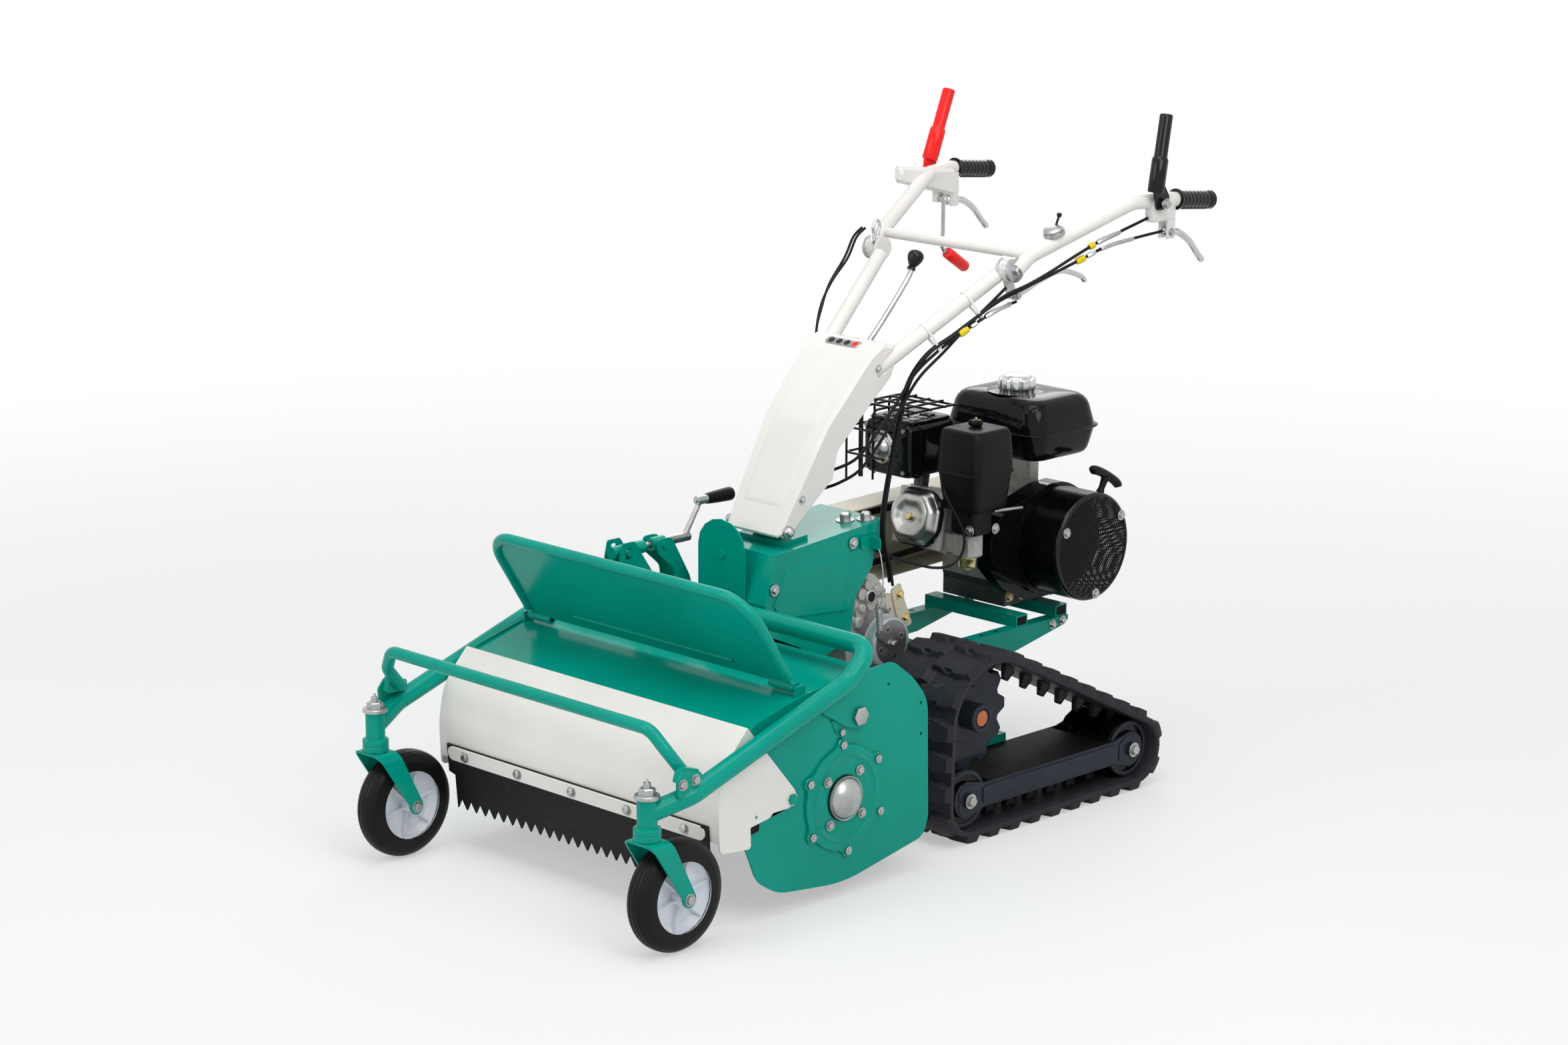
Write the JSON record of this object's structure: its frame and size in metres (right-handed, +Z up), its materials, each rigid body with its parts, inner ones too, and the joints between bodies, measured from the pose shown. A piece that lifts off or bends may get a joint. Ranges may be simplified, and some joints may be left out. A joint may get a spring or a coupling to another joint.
{
  "type": "walk-behind tracked hammer knife mower",
  "caption": "Walk-behind flail mower on rubber crawler tracks with front caster wheels, hinged guards, engine, column and fork handle.",
  "frame": {"origin": "middle of the bounding box, on the ground plane the tracks and casters stand on", "axes": "+Z up, +Y from the cutter head at the front towards the handles at the back, +X towards the operator's left"},
  "size_m": [0.7798, 1.527, 1.251],
  "materials": {
    "green_paint": "gloss",
    "white_paint": "gloss",
    "flap_rubber": "matte",
    "black_rubber": "satin",
    "hub_plastic": "satin",
    "track_metal": "gloss",
    "roller_metal": "gloss",
    "gear_case": "satin",
    "zinc": "gloss",
    "engine_black": "gloss",
    "filter_plastic": "satin",
    "rotor_steel": "satin",
    "red_plastic": "gloss",
    "black_plastic": "gloss"
  },
  "bodies": {
    "chassis": {"chassis_frame": "green_paint", "transmission_case": "gear_case", "column_bracket": "green_paint", "column_cover": "white_paint", "lower_handle": "white_paint", "track_frame_left": "track_metal", "track_frame_right": "track_metal", "track_left": "black_rubber", "track_right": "black_rubber", "crankcase": "gear_case", "fuel_tank": "engine_black", "air_filter": "filter_plastic", "muffler": "engine_black", "fan_housing": "engine_black", "fan_guard": "filter_plastic", "belt_cover": "white_paint", "drive_belt": "black_rubber", "deck_shell": "green_paint", "hub_cover_left": "green_paint", "rotor_drive_case": "green_paint", "control_cables": "filter_plastic"},
    "rotor": {"flail_rotor": "rotor_steel"},
    "front_guard": {"front_cover": "white_paint", "front_flap": "flap_rubber"},
    "lid": {"guard_lid": "green_paint"},
    "crank": {"crank": "zinc"},
    "jack": {"jack_tube": "green_paint"},
    "hoop": {"hoop_frame": "green_paint"},
    "fork_l": {"fork_left": "green_paint"},
    "fork_r": {"fork_right": "green_paint"},
    "wheel_l": {"tyre_left": "black_rubber", "wheel_hub_left": "hub_plastic"},
    "wheel_r": {"tyre_right": "black_rubber", "wheel_hub_right": "hub_plastic"},
    "sprocket_l": {"sprocket_left": "track_metal"},
    "sprocket_r": {"sprocket_right": "track_metal"},
    "front_roller_l": {"front_roller_left": "roller_metal"},
    "front_roller_r": {"front_roller_right": "roller_metal"},
    "rear_idler_l": {"rear_idler_left": "roller_metal"},
    "rear_idler_r": {"rear_idler_right": "roller_metal"},
    "engine_shaft": {"crankshaft": "rotor_steel"},
    "input_shaft": {"input_pulley": "rotor_steel"},
    "parking_arm": {"brake_arm": "zinc", "brake_spring": "zinc"},
    "tank_cap": {"fuel_cap": "zinc"},
    "starter": {"starter_handle": "filter_plastic"},
    "handle": {"upper_handle": "white_paint", "grip_left": "black_rubber", "grip_right": "black_rubber"},
    "clutch_lever_l": {"black_lever": "black_plastic"},
    "clutch_lever_r": {"red_lever": "red_plastic"},
    "steer_l": {"steering_lever_left": "zinc"},
    "steer_r": {"steering_lever_right": "zinc"},
    "throttle": {"throttle_lever": "filter_plastic"},
    "hanging": {"hanging_lever": "zinc"},
    "lock": {"lock_lever": "zinc"},
    "shift": {"shift_lever": "zinc"}
  },
  "joints": [
    {"name": "rotor_spin", "type": "hinge", "parent": "chassis", "child": "rotor", "pos_m": [0, -0.2815, 0.177], "axis": [1, 0, 0], "continuous": true},
    {"name": "front_guard_hinge", "type": "hinge", "parent": "chassis", "child": "front_guard", "pos_m": [0, -0.407, 0.2023], "axis": [-1, 0, 0], "range_deg": [0, 30]},
    {"name": "lid_hinge", "type": "hinge", "parent": "chassis", "child": "lid", "pos_m": [0, -0.3775, 0.385], "axis": [1, 0, 0], "range_deg": [0, 52]},
    {"name": "crank_turn", "type": "hinge", "parent": "chassis", "child": "crank", "pos_m": [-0.17, -0.2225, 0.517], "axis": [0, 1, 0], "range_deg": [-1678, 1678]},
    {"name": "hoop_tilt", "type": "hinge", "parent": "chassis", "child": "hoop", "pos_m": [0, -0.2525, 0.3167], "axis": [1, 0, 0], "range_deg": [-4, 4]},
    {"name": "jack_slide", "type": "slide", "parent": "chassis", "child": "jack", "axis": [0, -1, 0], "range_m": [-0.01399, 0.01399]},
    {"name": "caster_swivel_left", "type": "hinge", "parent": "hoop", "child": "fork_l", "pos_m": [0.344, -0.728, 0.203], "axis": [0, 0, 1], "continuous": true},
    {"name": "caster_swivel_right", "type": "hinge", "parent": "hoop", "child": "fork_r", "pos_m": [-0.344, -0.728, 0.203], "axis": [0, 0, 1], "continuous": true},
    {"name": "wheel_spin_left", "type": "hinge", "parent": "fork_l", "child": "wheel_l", "pos_m": [0.344, -0.668, 0.0955], "axis": [1, 0, 0], "continuous": true},
    {"name": "wheel_spin_right", "type": "hinge", "parent": "fork_r", "child": "wheel_r", "pos_m": [-0.344, -0.668, 0.0955], "axis": [1, 0, 0], "continuous": true},
    {"name": "sprocket_turn_left", "type": "hinge", "parent": "chassis", "child": "sprocket_l", "pos_m": [0.225, 0.15, 0.2107], "axis": [1, 0, 0], "continuous": true},
    {"name": "front_roller_turn_left", "type": "hinge", "parent": "chassis", "child": "front_roller_l", "pos_m": [0.225, 0.092, 0.0755], "axis": [1, 0, 0], "continuous": true},
    {"name": "rear_idler_turn_left", "type": "hinge", "parent": "chassis", "child": "rear_idler_l", "pos_m": [0.225, 0.541, 0.0755], "axis": [1, 0, 0], "continuous": true},
    {"name": "sprocket_turn_right", "type": "hinge", "parent": "chassis", "child": "sprocket_r", "pos_m": [-0.225, 0.15, 0.2107], "axis": [1, 0, 0], "continuous": true},
    {"name": "front_roller_turn_right", "type": "hinge", "parent": "chassis", "child": "front_roller_r", "pos_m": [-0.225, 0.092, 0.0755], "axis": [1, 0, 0], "continuous": true},
    {"name": "rear_idler_turn_right", "type": "hinge", "parent": "chassis", "child": "rear_idler_r", "pos_m": [-0.225, 0.541, 0.0755], "axis": [1, 0, 0], "continuous": true},
    {"name": "crankshaft_turn", "type": "hinge", "parent": "chassis", "child": "engine_shaft", "pos_m": [-0.16, 0.544, 0.442], "axis": [1, 0, 0], "continuous": true},
    {"name": "input_turn", "type": "hinge", "parent": "chassis", "child": "input_shaft", "pos_m": [-0.16, 0.0805, 0.43], "axis": [1, 0, 0], "continuous": true},
    {"name": "brake_arm_swing", "type": "hinge", "parent": "chassis", "child": "parking_arm", "pos_m": [0.1188, 0.0812, 0.332], "axis": [1, 0, 0], "range_deg": [-8, 8]},
    {"name": "fuel_cap_turn", "type": "hinge", "parent": "chassis", "child": "tank_cap", "pos_m": [0.015, 0.5255, 0.725], "axis": [0, 0, 1], "range_deg": [0, 90]},
    {"name": "starter_pull", "type": "slide", "parent": "chassis", "child": "starter", "axis": [0, 0.4789, 0.8779], "range_m": [0, 0.12]},
    {"name": "handle_height", "type": "hinge", "parent": "chassis", "child": "handle", "pos_m": [0, 0.3305, 0.985], "axis": [1, 0, 0], "range_deg": [-20, 15]},
    {"name": "black_lever_squeeze", "type": "hinge", "parent": "handle", "child": "clutch_lever_l", "pos_m": [0.286, 0.6035, 1.088], "axis": [1, 0, 0], "range_deg": [-20, 20]},
    {"name": "red_lever_squeeze", "type": "hinge", "parent": "handle", "child": "clutch_lever_r", "pos_m": [-0.286, 0.6035, 1.088], "axis": [1, 0, 0], "range_deg": [-20, 20]},
    {"name": "steering_squeeze_left", "type": "hinge", "parent": "handle", "child": "steer_l", "pos_m": [0.2663, 0.643, 1.03], "axis": [1, 0, 0], "range_deg": [0, 18]},
    {"name": "steering_squeeze_right", "type": "hinge", "parent": "handle", "child": "steer_r", "pos_m": [-0.2663, 0.643, 1.03], "axis": [1, 0, 0], "range_deg": [0, 18]},
    {"name": "throttle_turn", "type": "hinge", "parent": "handle", "child": "throttle", "pos_m": [0.196, 0.4105, 1.048], "axis": [0, -0.38, 0.925], "range_deg": [-45, 45]},
    {"name": "hanging_lever_swing", "type": "hinge", "parent": "handle", "child": "hanging", "pos_m": [-0.238, 0.5915, 1.04], "axis": [1, 0, 0], "range_deg": [-20, 20]},
    {"name": "handle_lock_turn", "type": "hinge", "parent": "chassis", "child": "lock", "pos_m": [0.1595, 0.3505, 0.935], "axis": [1, 0, 0], "range_deg": [0, 20]},
    {"name": "shift_travel", "type": "hinge", "parent": "chassis", "child": "shift", "pos_m": [0, 0.0855, 0.805], "axis": [1, 0, 0], "range_deg": [-10, 10]}
  ],
  "couplings": [
    {"joint": "hoop_tilt", "follows": "crank_turn", "ratio": 0.0023838},
    {"joint": "jack_slide", "follows": "crank_turn", "m_per_rad": 0.00047746},
    {"joint": "front_roller_turn_left", "follows": "sprocket_turn_left", "ratio": 2},
    {"joint": "rear_idler_turn_left", "follows": "sprocket_turn_left", "ratio": 2},
    {"joint": "front_roller_turn_right", "follows": "sprocket_turn_right", "ratio": 2},
    {"joint": "rear_idler_turn_right", "follows": "sprocket_turn_right", "ratio": 2},
    {"joint": "input_turn", "follows": "crankshaft_turn", "ratio": 0.79592}
  ]
}
